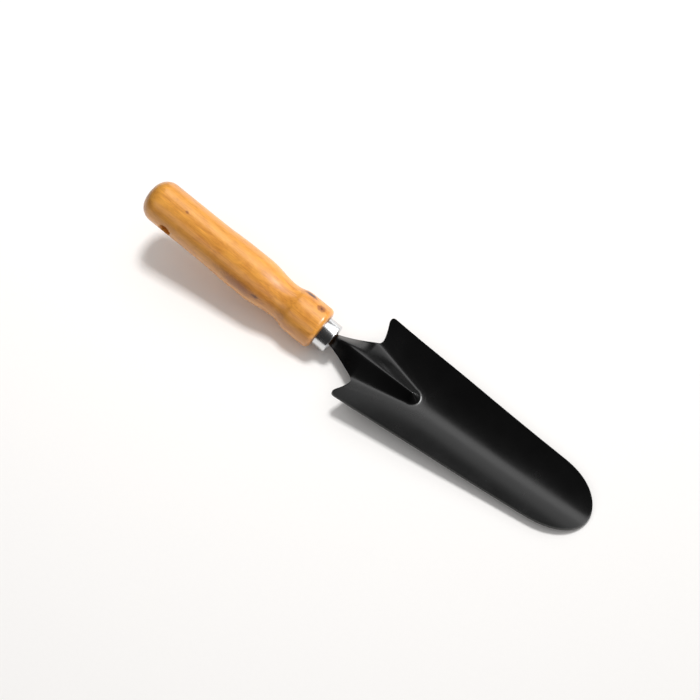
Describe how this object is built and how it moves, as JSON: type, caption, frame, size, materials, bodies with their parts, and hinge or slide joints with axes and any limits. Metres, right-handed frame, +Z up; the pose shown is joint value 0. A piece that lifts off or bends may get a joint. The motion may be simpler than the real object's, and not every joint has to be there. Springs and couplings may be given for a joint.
{
  "type": "hand transplanter",
  "caption": "Narrow garden hand transplanter: pressed black steel scoop blade with a raised neck ridge, polished ferrule and turned wooden handle with a hanging hole.",
  "frame": {"origin": "under the middle of the tool's overall length, on the surface that the handle's collar and the underside of the blade rest on", "axes": "+X along the tool from the handle's butt to the blade's tip, +Y across the blade, +Z up out of the open side of the scoop"},
  "size_m": [0.3159, 0.0616, 0.0545],
  "materials": {
    "handle_wood": "clear lacquered turned hardwood, amber",
    "ferrule_steel": "bright polished drawn steel",
    "blade_coating": "satin black powder coat on pressed sheet steel"
  },
  "bodies": {
    "root": {"handle": "handle_wood", "ferrule": "ferrule_steel", "blade": "blade_coating"}
  },
  "joints": []
}
